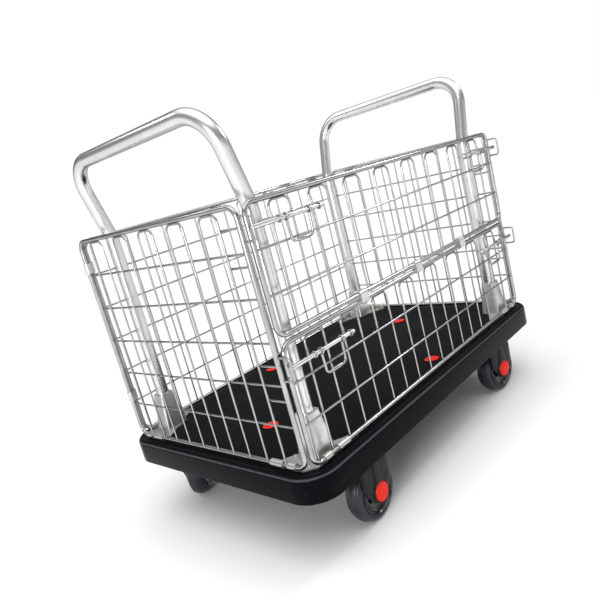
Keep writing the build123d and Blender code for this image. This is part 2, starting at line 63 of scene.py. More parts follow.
# %% Grid of points to a closed shell
def shell(grid, around=True, lengthwise_loop=False, start=None, end=None):
    """A grid of points as (points, quads, triangles, uv of quads, uv of triangles).

    Each quad joins point (i, j) to its neighbours (i + 1, j), (i + 1, j + 1), (i, j + 1). The
    grid closes round j when around, and round i when lengthwise_loop. A start or end point
    closes that end with a fan of triangles. The uv is the distance along and round, in metres.
    """
    rows, columns = grid.shape[:2]
    points = grid.reshape(-1, 3)
    i = np.arange(rows if lengthwise_loop else rows - 1)[:, None]
    j = np.arange(columns if around else columns - 1)[None, :]
    near, far = i * columns, ((i + 1) % rows) * columns
    left, right = j + 0 * i, (j + 1) % columns + 0 * i
    quads = np.stack([near + left, near + right, far + right, far + left], -1).reshape(-1, 4)
    middle = grid.mean(1)
    step = np.linalg.norm(np.diff(np.vstack([middle, middle[:1]]), axis=0), axis=1)
    profile = np.linalg.norm(np.diff(grid, axis=0, append=grid[:1]), axis=2).mean(1)
    along = np.append(0, np.cumsum(np.maximum(step, profile)))
    ring = np.linalg.norm(np.diff(grid, axis=1, append=grid[:, :1]), axis=2).max(0)
    across = np.append(0, np.cumsum(ring))
    u = np.stack([along[i], along[i], along[i + 1], along[i + 1]], -1) + 0 * j[..., None]
    v = np.stack([across[j], across[j + 1], across[j + 1], across[j]], -1) + 0 * i[..., None]
    quad_uv = np.stack([u, v], -1).reshape(-1, 2)
    triangles, triangle_uv = np.zeros((0, 3), int), np.zeros((0, 2))
    j = np.arange(columns)
    for pole, row, turn in ((start, 0, 1), (end, rows - 1, -1)):
        if pole is None:
            continue
        points = np.vstack([points, pole])
        apex = np.full(columns, len(points) - 1)
        fan = np.stack([row * columns + (j + 1) % columns, row * columns + j, apex], -1)
        fan_u = np.full((columns, 3), along[row])
        fan_v = np.stack([across[j + 1], across[j], across[j]], -1)
        fan_uv = np.stack([fan_u, fan_v], -1)[:, ::turn]
        triangles = np.vstack([triangles, fan[:, ::turn]])
        triangle_uv = np.vstack([triangle_uv, fan_uv.reshape(-1, 2)])
    return facing_out((points, quads, triangles, quad_uv, triangle_uv))


def facing_out(part):
    """The same shell with every face turned over when its signed volume is below zero.

    The signed volume is the sum over triangles of a . (b x c) / 6, which is positive when
    the corners run anticlockwise as seen from outside.
    """
    points, quads, triangles, quad_uv, triangle_uv = part
    halves = np.vstack([quads[:, [0, 1, 2]], quads[:, [0, 2, 3]], triangles])
    a, b, c = (points[halves[:, k]] - points.mean(0) for k in range(3))
    if np.einsum("ij,ij->", a, np.cross(b, c)) >= 0:
        return part
    quad_uv = quad_uv.reshape(-1, 4, 2)[:, ::-1].reshape(-1, 2)
    triangle_uv = triangle_uv.reshape(-1, 3, 2)[:, ::-1].reshape(-1, 2)
    return points, quads[:, ::-1], triangles[:, ::-1], quad_uv, triangle_uv


def joined(parts):
    """Several shells as one: points end to end, and face numbers moved up to match."""
    starts = np.cumsum([0] + [len(part[0]) for part in parts])
    return (
        np.vstack([part[0] for part in parts]),
        np.vstack([part[1] + start for part, start in zip(parts, starts)]),
        np.vstack([part[2] + start for part, start in zip(parts, starts)]),
        np.vstack([part[3] for part in parts]),
        np.vstack([part[4] for part in parts]),
    )


def copies(part, places):
    """One shell at many places: every point is added to every place at once."""
    places = np.asarray(places, float)
    points, quads, triangles, quad_uv, triangle_uv = part
    shift = np.arange(len(places))[:, None, None] * len(points)
    return (
        (places[:, None] + points[None]).reshape(-1, 3),
        (quads[None] + shift).reshape(-1, 4),
        (triangles[None] + shift).reshape(-1, 3),
        np.tile(quad_uv, (len(places), 1)),
        np.tile(triangle_uv, (len(places), 1)),
    )


# %% Shell to a Blender object that rides on a body
def piece(name, parts, body, finish, stands_for=(), sharp=38):
    """Makes one object from shells, smooth but for edges over `sharp` degrees."""
    points, quads, triangles, quad_uv, triangle_uv = joined(parts)
    mesh = bpy.data.meshes.new(name)
    mesh.from_pydata(points, [], quads.tolist() + triangles.tolist())
    layer = mesh.uv_layers.new(name="along_and_round")
    layer.data.foreach_set("uv", np.vstack([quad_uv, triangle_uv]).astype(np.float32).ravel())
    mesh.shade_smooth()
    mesh.set_sharp_from_angle(angle=radians(sharp))
    mesh.materials.append(finish)
    made = bpy.data.objects.new(name, mesh)
    bpy.context.scene.collection.objects.link(made)
    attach(made, body)
    if stands_for:
        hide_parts(*stands_for)
    print(f"{name}: {len(quads) * 2 + len(triangles)} triangles on {body}")
    return made


# %% [markdown]
# ## Rods, tubes and turned parts
# Almost all of this cart is bent rod. A rod is a circle carried along a line whose corners are
# rounded by arcs, and a turned part is a profile carried round an axis. Curves with a bevel
# would also make rods, but a grid of points gives the uv that the drawn grain follows.

# %% A line with rounded corners
def bent_line(corners, bend, closed=False, steps=9):
    """Corners rounded by arcs: each arc leaves its straight part bend * tan(turn / 2) before the
    corner, and its points swing from one end to the other about a centre that lies
    bend / sin(half the inside angle) from the corner, on the line that halves the angle."""
    corners = np.asarray(corners, float)
    inner = corners if closed else corners[1:-1]
    before = np.roll(corners, 1, 0) if closed else corners[:-2]
    after = np.roll(corners, -1, 0) if closed else corners[2:]
    bend = np.broadcast_to(np.asarray(bend, float), (len(inner),))[:, None]
    back = before - inner
    back /= np.linalg.norm(back, axis=1, keepdims=True)
    on = after - inner
    on /= np.linalg.norm(on, axis=1, keepdims=True)
    inside = np.arccos(np.clip((back * on).sum(1, keepdims=True), -1, 1))
    turn = pi - inside
    halfway = back + on
    halfway /= np.linalg.norm(halfway, axis=1, keepdims=True)
    centre = inner + halfway * bend / np.sin(inside / 2)
    first = inner + back * bend * np.tan(turn / 2) - centre
    last = inner + on * bend * np.tan(turn / 2) - centre
    share = np.linspace(0, 1, steps)[None, :, None]
    turn = turn[:, :, None]
    swing = np.sin((1 - share) * turn) * first[:, None] + np.sin(share * turn) * last[:, None]
    arcs = (centre[:, None] + swing / np.sin(turn)).reshape(-1, 3)
    return arcs if closed else np.vstack([corners[:1], arcs, corners[-1:]])


def rod(line, radius, facing, sides=12, closed=False):
    """A circle carried along a line: at each point the two directions across the rod come from
    the line's direction and from `facing`, a direction that the line never takes."""
    line, facing = np.asarray(line, float), np.asarray(facing, float)
    if closed:
        along = np.roll(line, -1, 0) - np.roll(line, 1, 0)
    else:
        along = np.gradient(line, axis=0)
    along /= np.linalg.norm(along, axis=1, keepdims=True)
    out = np.cross(along, facing)
    out /= np.linalg.norm(out, axis=1, keepdims=True)
    up = np.cross(out, along)
    turn = np.linspace(0, 2 * pi, sides, endpoint=False)[None, :, None]
    grid = line[:, None] + radius * (np.cos(turn) * up[:, None] + np.sin(turn) * out[:, None])
    ends = {} if closed else {"start": line[0], "end": line[-1]}
    return shell(grid, lengthwise_loop=closed, **ends)


def turned(profile, centre, axis, sides=48, closed=False):
    """A profile of (radius, distance along the axis) carried round the axis. The profile is
    a closed ring, or else it closes on the axis at both ends."""
    profile, centre = np.asarray(profile, float), np.asarray(centre, float)
    axis = np.asarray(axis, float) / np.linalg.norm(axis)
    side = np.cross(axis, (0, 0, 1) if abs(axis[2]) < 0.9 else (1, 0, 0))
    side /= np.linalg.norm(side)
    other = np.cross(axis, side)
    turn = np.linspace(0, 2 * pi, sides, endpoint=False)[None, :, None]
    radius, height = profile[:, :1, None], profile[:, 1:, None]
    grid = centre + height * axis + radius * (np.cos(turn) * side + np.sin(turn) * other)
    if closed:
        return shell(grid, lengthwise_loop=True)
    return shell(grid, start=centre + profile[0, 1] * axis, end=centre + profile[-1, 1] * axis)


def arc(middle, radius, start, stop, steps=8):
    """Points of a circle from one angle to another, in degrees, for a profile."""
    turn = np.radians(np.linspace(start, stop, steps))
    return np.stack([middle[0] + radius * np.cos(turn), middle[1] + radius * np.sin(turn)], 1)


print("faces of a plain rod", len(rod([(0, 0, 0), (0, 0, 1)], 0.01, (1, 0, 0))[1]))

# %% [markdown]
# ## Finishes
# Each finish is a small node graph. Zinc plated steel is nearly all reflection, so its
# character lies in roughness: drawn lines along a tube, and soft cloudy patches. Moulded
# plastic is the opposite: a dark colour, a fine spark-eroded grain and scuffs where loads slide.

# %% Node helpers
def new_finish(name, colour, metallic=0.0):
    """A material with its shader, and a function that adds a node with its inputs filled in."""
    finish = bpy.data.materials.new(name)
    finish.use_nodes = True
    tree = finish.node_tree
    shader = tree.nodes["Principled BSDF"]
    shader.inputs["Base Color"].default_value = (*colour, 1)
    shader.inputs["Metallic"].default_value = metallic

    def add(kind, inputs=None, **settings):
        node = tree.nodes.new(kind)
        for key, value in settings.items():
            setattr(node, key, value)
        for key, value in (inputs or {}).items():
            if isinstance(value, bpy.types.NodeSocket):
                tree.links.new(value, node.inputs[key])
            else:
                node.inputs[key].default_value = value
        return node

    return finish, shader, tree.links.new, add


def between(add, share, low, high):
    """The share 0 to 1 stretched to run from low to high."""
    return add("ShaderNodeMapRange", {0: share, 3: low, 4: high}).outputs[0]


def blended(add, share, first, second):
    """Two colours mixed by a share."""
    node = add("ShaderNodeMix", data_type="RGBA")
    node.inputs[6].default_value = (*first, 1)
    node.inputs[7].default_value = (*second, 1)
    node.id_data.links.new(share, node.inputs[0])
    return node.outputs[2]


# %% Zinc plated rod and tube
def zinc(name, colour, dark, rough, grain):
    """Drawn steel under zinc: lines run along the piece, and patches change the roughness."""
    finish, shader, link, add = new_finish(name, colour, metallic=1.0)
    shader.inputs["Specular Tint"].default_value = (0.25, 0.25, 0.25, 1)
    along = add("ShaderNodeUVMap", uv_map="along_and_round").outputs[0]
    stretched = add("ShaderNodeMapping", {0: along, 3: (12, grain, 1)}).outputs[0]
    lines = add("ShaderNodeTexNoise", {"Vector": stretched, "Scale": 1.0, "Detail": 3.0}).outputs[0]
    place = add("ShaderNodeTexCoord").outputs["Object"]
    cloud = add("ShaderNodeTexNoise", {"Vector": place, "Scale": 22.0, "Detail": 4.0}).outputs[0]
    speck = add("ShaderNodeTexNoise", {"Vector": place, "Scale": 900.0, "Detail": 2.0}).outputs[0]
    share = add("ShaderNodeMath", {0: lines, 1: cloud}, operation="MULTIPLY").outputs[0]
    link(blended(add, between(add, share, -0.6, 2.2), dark, colour), shader.inputs["Base Color"])
    link(between(add, share, rough + 0.12, rough - 0.10), shader.inputs["Roughness"])
    height = add("ShaderNodeMath", {0: lines, 1: speck}, operation="ADD").outputs[0]
    bump = add("ShaderNodeBump", {"Height": height, "Strength": 0.06, "Distance": 0.0002})
    link(bump.outputs[0], shader.inputs["Normal"])
    return finish


tube_zinc = zinc("zinc_tube", (0.93, 0.93, 0.925), (0.76, 0.76, 0.75), 0.19, 900)
wire_zinc = zinc("zinc_wire", (0.71, 0.715, 0.715), (0.41, 0.41, 0.40), 0.18, 700)


# %% Zinc plated sheet, with a faint spangle
def sheet_zinc():
    """Pressed sheet: pale crystals of slightly different grey, and shallow rolling marks."""
    colour, dark = (0.70, 0.70, 0.68), (0.50, 0.50, 0.48)
    finish, shader, link, add = new_finish("zinc_sheet", colour, metallic=1.0)
    place = add("ShaderNodeTexCoord").outputs["Object"]
    crystal = add("ShaderNodeTexVoronoi", {"Vector": place, "Scale": 130.0}).outputs["Color"]
    tone = add("ShaderNodeSeparateColor", {0: crystal}).outputs[0]
    cloud = add("ShaderNodeTexNoise", {"Vector": place, "Scale": 35.0, "Detail": 5.0}).outputs[0]
    share = add("ShaderNodeMath", {0: tone, 1: cloud}, operation="MULTIPLY").outputs[0]
    link(blended(add, between(add, share, 1.0, 0.0), dark, colour), shader.inputs["Base Color"])
    link(between(add, tone, 0.28, 0.42), shader.inputs["Roughness"])
    rolled = add("ShaderNodeMapping", {0: place, 3: (1, 14, 1)}).outputs[0]
    marks = add("ShaderNodeTexNoise", {"Vector": rolled, "Scale": 90.0, "Detail": 3.0}).outputs[0]
    bump = add("ShaderNodeBump", {"Height": marks, "Strength": 0.12, "Distance": 0.0002})
    link(bump.outputs[0], shader.inputs["Normal"])
    return finish


def bright_steel():
    """Bolts and screws: bright plating with fine scratches from the spanner."""
    colour, dark = (0.80, 0.80, 0.79), (0.45, 0.45, 0.44)
    finish, shader, link, add = new_finish("bright_fastener", colour, metallic=1.0)
    place = add("ShaderNodeTexCoord").outputs["Object"]
    scratch = add("ShaderNodeTexNoise", {"Vector": place, "Scale": 400.0, "Detail": 4.0}).outputs[0]
    link(blended(add, scratch, dark, colour), shader.inputs["Base Color"])
    link(between(add, scratch, 0.42, 0.18), shader.inputs["Roughness"])
    bump = add("ShaderNodeBump", {"Height": scratch, "Strength": 0.15, "Distance": 0.0001})
    link(bump.outputs[0], shader.inputs["Normal"])
    return finish


plate_zinc, fastener_steel = sheet_zinc(), bright_steel()


# %% Moulded plastics and the tyre
load_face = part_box("deck")[1].z


def moulded(name, colour, scuffed, rough, grain, grain_height, scuff_share, gloss, duller=0.0):
    """Moulded plastic: a fine grain of rounded cells, cloudy gloss, and thin pale scuffs where a
    stretched noise passes a high threshold. `gloss` is the specular level. `duller` is added to
    the roughness of the load face, because goods slide on it."""
    finish, shader, link, add = new_finish(name, colour)
    shader.inputs["Specular IOR Level"].default_value = gloss
    place = add("ShaderNodeTexCoord").outputs["Object"]
    cells = add("ShaderNodeTexVoronoi", {"Vector": place, "Scale": grain}).outputs["Distance"]
    finer = {"Vector": place, "Scale": 2 * grain, "Detail": 2.0}
    fine = add("ShaderNodeTexNoise", finer).outputs[0]
    cloud = add("ShaderNodeTexNoise", {"Vector": place, "Scale": 9.0, "Detail": 5.0}).outputs[0]
    streak = add("ShaderNodeMapping", {0: place, 2: (0, 0, 0.5), 3: (9, 90, 60)}).outputs[0]
    scuff = add("ShaderNodeTexNoise", {"Vector": streak, "Scale": 1.0, "Detail": 6.0}).outputs[0]
    scuff_range = {0: scuff, 1: 0.62, 2: 0.80, 3: 0.0, 4: scuff_share}
    worn = add("ShaderNodeMapRange", scuff_range).outputs[0]
    link(blended(add, worn, colour, scuffed), shader.inputs["Base Color"])
    share = add("ShaderNodeMath", {0: cloud, 1: worn}, operation="ADD").outputs[0]
    rough_share = between(add, share, rough - 0.08, rough + 0.14)
    # A duller above zero also paints a pale highlight line along the shoulder, which stands for
    # wear too.
    if duller:
        rough_share = shoulder_wear_and_highlight(add, shader, link, place, scuff, rough_share, duller)
    link(rough_share, shader.inputs["Roughness"])
    height = add("ShaderNodeMath", {0: cells, 1: fine}, operation="ADD").outputs[0]
    bump = add("ShaderNodeBump", {"Height": height, "Strength": grain_height, "Distance": 0.0003})
    link(bump.outputs[0], shader.inputs["Normal"])
    return finish


def shoulder_wear_and_highlight(add, shader, link, place, scuff, rough_share, duller):
    """A painted highlight line on the shoulder, also standing for wear, and a duller load face.

    The line's strength is 1 at a set height below the load face and falls to 0 a little above
    and below it, times a share of the scuff noise.
    """
    # The pale colour paints a highlight along the shoulder, and stands for rubbing wear as well.
    line_below, line_half, pale = 0.0032, 0.0021, (0.105, 0.110, 0.118, 1)
    height = add("ShaderNodeSeparateXYZ", {0: place}).outputs[2]
    low, high = load_face - 0.0020, load_face - 0.0003
    face = add("ShaderNodeMapRange", {0: height, 1: low, 2: high, 3: 0.0, 4: duller}).outputs[0]
    heights = {0: height, 1: load_face - line_below}
    off = add("ShaderNodeMath", heights, operation="SUBTRACT").outputs[0]
    off = add("ShaderNodeMath", {0: off}, operation="ABSOLUTE").outputs[0]
    line = add("ShaderNodeMapRange", {0: off, 1: 0.0, 2: line_half, 3: 1.0, 4: 0.0}).outputs[0]
    patchy = between(add, scuff, 0.35, 1.05)
    share = add("ShaderNodeMath", {0: line, 1: patchy}, operation="MULTIPLY").outputs[0]
    mix = add("ShaderNodeMix", data_type="RGBA")
    link(share, mix.inputs[0])
    link(shader.inputs["Base Color"].links[0].from_socket, mix.inputs[6])
    mix.inputs[7].default_value = pale
    link(mix.outputs[2], shader.inputs["Base Color"])
    return add("ShaderNodeMath", {0: rough_share, 1: face}, operation="ADD").outputs[0]


deck_black = moulded(
    "deck_black", (0.0020, 0.0025, 0.0034), (0.020, 0.020, 0.023),
    rough=0.17, grain=900, grain_height=0.05, scuff_share=0.4, gloss=0.04, duller=0.22,
)
yoke_black = moulded(
    "yoke_black", (0.0030, 0.0032, 0.0028), (0.018, 0.018, 0.018),
    rough=0.15, grain=1300, grain_height=0.03, scuff_share=0.2, gloss=0.20,
)
hub_grey = moulded(
    "hub_grey", (0.006, 0.0075, 0.010), (0.04, 0.04, 0.045),
    rough=0.14, grain=1100, grain_height=0.03, scuff_share=0.2, gloss=0.55,
)
signal_red = moulded(
    "signal_red", (0.78, 0.014, 0.005), (0.80, 0.10, 0.07),
    rough=0.24, grain=1200, grain_height=0.04, scuff_share=0.2, gloss=0.20,
)


def tyre_rubber():
    """Rubber: rings left by the mould run round the wheel, with dust in a soft mottle."""
    colour, dust = (0.006, 0.008, 0.013), (0.024, 0.028, 0.036)
    finish, shader, link, add = new_finish("tyre_rubber", colour)
    along = add("ShaderNodeUVMap", uv_map="along_and_round").outputs[0]
    rings = add("ShaderNodeMapping", {0: along, 3: (1400, 3, 1)}).outputs[0]
    ridge = add("ShaderNodeTexNoise", {"Vector": rings, "Scale": 1.0, "Detail": 2.0}).outputs[0]
    place = add("ShaderNodeTexCoord").outputs["Object"]
    mottle = add("ShaderNodeTexNoise", {"Vector": place, "Scale": 60.0, "Detail": 6.0}).outputs[0]
    link(blended(add, between(add, mottle, -0.3, 0.9), colour, dust), shader.inputs["Base Color"])
    link(between(add, mottle, 0.24, 0.42), shader.inputs["Roughness"])
    shader.inputs["Specular IOR Level"].default_value = 0.42
    bump = add("ShaderNodeBump", {"Height": ridge, "Strength": 0.25, "Distance": 0.0004})
    link(bump.outputs[0], shader.inputs["Normal"])
    return finish


rubber = tyre_rubber()
print("finishes", sorted(finish.name for finish in bpy.data.materials))

# %% [markdown]
# ## Deck
# The deck is one black moulding: a flat load face inside a shallow border channel, a rounded
# shoulder and a plain upright rim, hollow below with ribs. A cube with a bevel can't carry the
# channel round the corners, so a rim profile is carried round a rounded rectangle instead.

# %% Rounded rectangles carried up a profile
def rounded_loop(half_length, half_width, corner, steps=14):
    """Points of a rounded rectangle: a quarter circle about each corner centre, joined straight."""
    corner = np.minimum(corner, np.minimum(half_length, half_width) - 1e-4)
    turn = np.radians(np.linspace(0, 90, steps)[None] + 90 * np.arange(4)[:, None])
    sign_x, sign_y = np.array([1, -1, -1, 1])[:, None], np.array([1, 1, -1, -1])[:, None]
    x = sign_x * (half_length - corner) + corner * np.cos(turn)
    y = sign_y * (half_width - corner) + corner * np.sin(turn)
    return np.stack([x.ravel(), y.ravel()], 1)


def moulding(outline, profile, centre=(0, 0)):
    """A profile of (inset, height) carried round an outline of (half length, half width,
    corner): each ring is the outline drawn in by its inset. The last rings close flat."""
    half_length, half_width, corner = outline
    rings = []
    for inset, height in profile:
        loop = rounded_loop(half_length - inset, half_width - inset, max(corner - inset, 0.0008))
        rings.append(np.column_stack([loop + centre, np.full(len(loop), height)]))
    grid = np.array(rings)
    return shell(grid, start=grid[0].mean(0), end=grid[-1].mean(0))


deck_low, deck_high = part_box("deck")
deck_half_length, deck_half_width = deck_high.x, deck_high.y
rim_bottom = deck_low.z
deck_corner = 0.062
rim_wall, skin, shoulder = 0.005, 0.006, 0.008
channel_in, channel_out, channel_depth = 0.0215, 0.0125, 0.0012
print("deck half sizes", deck_half_length, deck_half_width, "load face", load_face)


# %% The deck's rim profile, ribs and pads
def deck_profile():
    """From the middle of the load face outward, over the shoulder, down the rim and back in."""
    face = [(0.070, load_face), (channel_in + 0.002, load_face)]
    channel = [
        (channel_in, load_face - 0.0003),
        (channel_in - 0.0012, load_face - channel_depth),
        (channel_out + 0.0012, load_face - channel_depth),
        (channel_out, load_face - 0.0002),
    ]
    over = arc((shoulder, load_face - shoulder), shoulder, 90, 180, 9)
    under_edge = arc((0.0015, rim_bottom + 0.0015), 0.0015, 180, 270, 5)
    inside = [
        (rim_wall - 0.001, rim_bottom),
        (rim_wall, rim_bottom + 0.001),
        (rim_wall, load_face - skin - 0.004),
        (rim_wall + 0.004, load_face - skin),
        (0.070, load_face - skin),
    ]
    return [*face, *channel, *map(tuple, over), *map(tuple, under_edge), *inside]


rib_bottom, rib_half, rib_pitch = load_face - skin - 0.024, 0.002, 0.120


def block(half_length, half_width, corner, low, high, centre=(0, 0), ease=0.0008):
    """A block with rounded corners and a small chamfer at its two ends."""
    profile = [(ease, low), (0, low + ease), (0, high - ease), (ease, high)]
    return moulding((half_length, half_width, corner), profile, centre)


rib_top = load_face - skin + 0.001
ribs = [
    block(deck_half_length - rim_wall, rib_half, 0.0015, rib_bottom, rib_top, (0, y))
    for y in (-rib_pitch, 0, rib_pitch)
] + [
    block(rib_half, deck_half_width - rim_wall, 0.0015, rib_bottom, rib_top, (x, 0))
    for x in np.arange(-2, 3) * rib_pitch
]
caster_names = ["front_left", "front_right", "rear_left", "rear_right"]
swivels = {name: joints[f"caster_swivel_{name}"]["pos_m"] for name in caster_names}
pads = []
for name, spot in swivels.items():
    plate_low, plate_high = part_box(f"caster_plate_{name}")
    half = np.array(plate_high - plate_low)[:2] / 2 + 0.006
    pads.append(block(half[0], half[1], 0.008, plate_high.z, rib_top, spot[:2], 0.001))
tube_radius, socket_radius, socket_height, socket_floor = 0.014, 0.021, 0.021, 0.005
handle_low, handle_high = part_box("left_handle")
sockets = []
for name in caster_names:
    leg_x = np.sign(swivels[name][0]) * (-handle_high.x - tube_radius)
    leg_y = np.sign(swivels[name][1]) * (handle_high.y - tube_radius)
    wall = [(socket_radius, 0), (socket_radius, socket_height)]
    sockets.append(turned(wall, (leg_x, leg_y, handle_low.z - socket_floor), (0, 0, 1), 36))
deck_shell = moulding((deck_half_length, deck_half_width, deck_corner), deck_profile())
deck_parts = [deck_shell, *ribs, *pads, *sockets]
piece("moulded_deck", deck_parts, "root", deck_black, ["deck"])

# %% [markdown]
# ## Plugs in the deck
# Four red domed plugs are let into the load face, each with a dark seam round it and a raised
# grip bar across it. A turned profile gives the dome and its ring groove.

# %% Domed plugs with a ring groove
def plug_profile(radius, dome):
    """A low dome, z = dome * (1 - (r / radius) squared), with a ring groove near its edge."""
    r = np.linspace(0.0005, radius, 26)
    z = dome * (1 - (r / radius) ** 2)
    z -= 0.0006 * np.exp(-(((r - 0.74 * radius) / 0.0007) ** 2))
    return np.vstack([np.stack([r, z], 1), [(radius, -0.002), (radius * 0.5, -0.002)]])


def grip_bar(centre, length, width, height):
    """A raised grip bar across a plug, as a low rounded block."""
    return block(length / 2, width / 2, width / 2.2, centre[2], centre[2] + height, centre[:2])


plug_mesh = nodes["deck_plugs"].data
plug_points = np.array([v.co for v in plug_mesh.vertices])
plug_radius, plug_dome = 0.017, plug_points[:, 2].max() - load_face
plug_spots = []
for quarter in [(-1, -1), (1, 1), (-1, 1), (1, -1)]:
    near = plug_points[(np.sign(plug_points[:, :2]) == quarter).all(1)]
    plug_spots.append((near[:, :2].min(0) + near[:, :2].max(0)) / 2)
print("plugs at", np.round(plug_spots, 3).tolist())
plug = turned(plug_profile(plug_radius, plug_dome), (0, 0, 0), (0, 0, 1), 40)
places = [(x, y, load_face) for x, y in plug_spots]
grip_length, grip_width = 0.020, 0.0045
grip_foot, grip_height = load_face + 0.4 * plug_dome, 0.6 * plug_dome
grips = [grip_bar((x, y, grip_foot), grip_length, grip_width, grip_height) for x, y in plug_spots]
plugs = [copies(plug, places), *grips]
piece("domed_plugs", plugs, "root", signal_red, ["deck_plugs"])
seam_section = arc((plug_radius + 0.0012, 0.0), 0.0011, 0, 330, 11)
seam = turned(seam_section, (0, 0, 0), (0, 0, 1), 40, closed=True)
piece("plug_seams", [copies(seam, places)], "root", deck_black)

# %% [markdown]
# ## Wire panels
# Each panel is a thick outer rod bent into a loop, with thin wires welded inside it. The upright
# wires come in pairs: one wire bent over under the top rod, which gives the soft round
# shoulders. Level wires cross them, and every crossing has a small flat weld. A wire's end is
# sunk a little way into the rod that carries it.

# %% Sizes of the wires
rod_radius, wire_radius = 0.0045, 0.002
rod_bend, wire_bend = 0.020, 0.012
weld_gap, sunk = 0.000025, 0.6 * rod_radius
layer = wire_radius + weld_gap
row_count, side_wires, end_wires = 5, 16, 10
side_margin, end_margin, edge_wire_inset = 0.0543, 0.0463, 0.015
weld = turned(
    [(0.0009, -0.0011), (0.0017, -0.0006), (0.0019, 0.0), (0.0017, 0.0006), (0.0009, 0.0011)],
    (0, 0, 0), (1, 1, 1), 6,
)


def lay_out(flat, origin, along, outward):
    """Points (across, height, depth) of a panel's own plane, placed in the cart's frame."""
    flat = np.asarray(flat, float)
    up = np.array([0.0, 0.0, 1.0])
    return origin + flat[:, :1] * along + flat[:, 1:2] * up + flat[:, 2:] * outward


def panel(origin, along, outward, half, low, high, wires, margin, levels, upright_side, edges):
    """All shells of a wire panel. upright_side is +1 or -1 for the layer of the upright wires."""
    along, outward = np.array(along, float), np.array(outward, float)
    origin = np.array(origin, float)

    def place(flat):
        return lay_out(flat, origin, along, outward)

    loop = [(-half, low, 0), (half, low, 0), (half, high, 0), (-half, high, 0)]
    frame_line = bent_line(place(loop), rod_bend, closed=True)
    parts = [rod(frame_line, rod_radius, outward, 18, closed=True)]
    depth = upright_side * layer
    bottom, top = low + sunk, high - rod_radius - 0.9 * wire_radius
    columns = np.linspace(-half + margin, half - margin, wires)
    for left, right in columns.reshape(-1, 2):
        hairpin = [(left, bottom), (left, top), (right, top), (right, bottom)]
        hairpin = [(x, height, depth) for x, height in hairpin]
        parts.append(rod(bent_line(place(hairpin), wire_bend), wire_radius, outward, 10))
    if edges:
        for x in (-half + edge_wire_inset, half - edge_wire_inset):
            line = [(x, bottom, depth), (x, high - sunk, depth)]
            parts.append(rod(place(line), wire_radius, outward, 10))
        columns = np.sort(np.append(columns, [-half + edge_wire_inset, half - edge_wire_inset]))
    reach = half - sunk
    for height in levels:
        line = [(-reach, height, -depth), (reach, height, -depth)]
        parts.append(rod(place(line), wire_radius, outward, 10))
    across, height = np.meshgrid(columns, levels)
    crossings = np.stack([across.ravel(), height.ravel(), 0 * across.ravel()], 1)
    parts.append(copies(weld, place(crossings)))
    return parts


# %% The fixed rear panel and the two flaps
rear_low, rear_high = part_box("rear_panel")
side_half = rear_high.x - rod_radius
floor_rod, top_rod = rear_low.z + rod_radius, rear_high.z - rod_radius
side_plane = (rear_low.y + rear_high.y) / 2
row_pitch = (top_rod - floor_rod) / (row_count + 1)
row_levels = floor_rod + row_pitch * np.arange(1, row_count + 1)
side_shape = {
    "half": side_half, "wires": side_wires, "margin": side_margin,
    "upright_side": -1, "edges": True,
}
rear = panel(
    (0, side_plane, 0), (1, 0, 0), (0, 1, 0), low=floor_rod, high=top_rod,
    levels=row_levels, **side_shape,
)
piece("rear_wire_panel", rear, "root", wire_zinc, ["rear_panel"])
for flap in ("lower_flap", "upper_flap"):
    flap_low, flap_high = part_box(flap)
    low, high = flap_low.z + rod_radius, flap_high.z - rod_radius
    inside = row_levels[(row_levels > low + wire_bend) & (row_levels < high - wire_bend)]
    parts = panel(
        (0, -side_plane, 0), (1, 0, 0), (0, -1, 0), low=low, high=high,
        levels=inside, **side_shape,
    )
    piece(f"{flap}_wires", parts, flap, wire_zinc, [flap])

# %% The two end panels, with short rungs beside the keepers
end_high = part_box("right_end_panel")[1]
end_half = end_high.y - rod_radius
end_plane = end_high.x - rod_radius
latch_heights = {}
for flap in ("lower", "upper"):
    rod_low, rod_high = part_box(f"latch_rod_{flap}_left")
    latch_heights[flap] = (rod_low.z + rod_high.z) / 2
rung_steps = (0.003, -0.059)
ends = (("left", -1), ("right", 1))
for side, sign in ends:
    parts = panel(
        (sign * end_plane, 0, 0), (0, 1, 0), (sign, 0, 0), half=end_half, low=floor_rod,
        high=top_rod, wires=end_wires, margin=end_margin, levels=row_levels, upright_side=1,
        edges=False,
    )
    for height in [h + step for h in latch_heights.values() for step in rung_steps]:
        reach = (-end_half + sunk, -end_half + end_margin + wire_radius)
        line = [(sign * (end_plane - layer), y, height) for y in reach]
        parts.append(rod(line, wire_radius, (1, 0, 0), 10))
    piece(f"{side}_end_wires", parts, "root", wire_zinc, [f"{side}_end_panel"])

# %% [markdown]
# ## Handles
# One tube makes each handle: up from the deck, leaning outward above the cage, and across the
# grip. The line is bent in two planes, so each corner has its own bend radius.

# %% Two bent tubes
grip_bend, lean_bend, grip_rise = 0.066, 0.090, 0.160
for side, sign in ends:
    low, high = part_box(f"{side}_handle")
    leg = min(abs(low.x), abs(high.x)) + tube_radius
    grip = max(abs(low.x), abs(high.x)) - tube_radius
    across, grip_height = high.y - tube_radius, high.z - tube_radius
    corners = [
        (sign * leg, -across, low.z),
        (sign * leg, -across, grip_height - grip_rise),
        (sign * grip, -across, grip_height),
        (sign * grip, across, grip_height),
        (sign * leg, across, grip_height - grip_rise),
        (sign * leg, across, low.z),
    ]
    line = bent_line(corners, (lean_bend, grip_bend, grip_bend, lean_bend), steps=20)
    tube = rod(line, tube_radius, (1, 0, 0), 40)
    piece(f"{side}_bent_tube", [tube], "root", tube_zinc, [f"{side}_handle"])

# %% [markdown]
# ## Latches
# A rod slides in two wire eyes on each flap and reaches into a wire staple on the end panel. A
# wire bail with a thicker grip hangs from the rod. All of it is bent wire again.

# %% Rods, eyes and keepers
latch_radius, latch_ease, running = 0.004, 0.0012, 0.00008
eye_wire, eye_reach, stem_wire, foot_half, foot_off = 0.0014, 0.014, 0.0012, 0.011, 0.0006


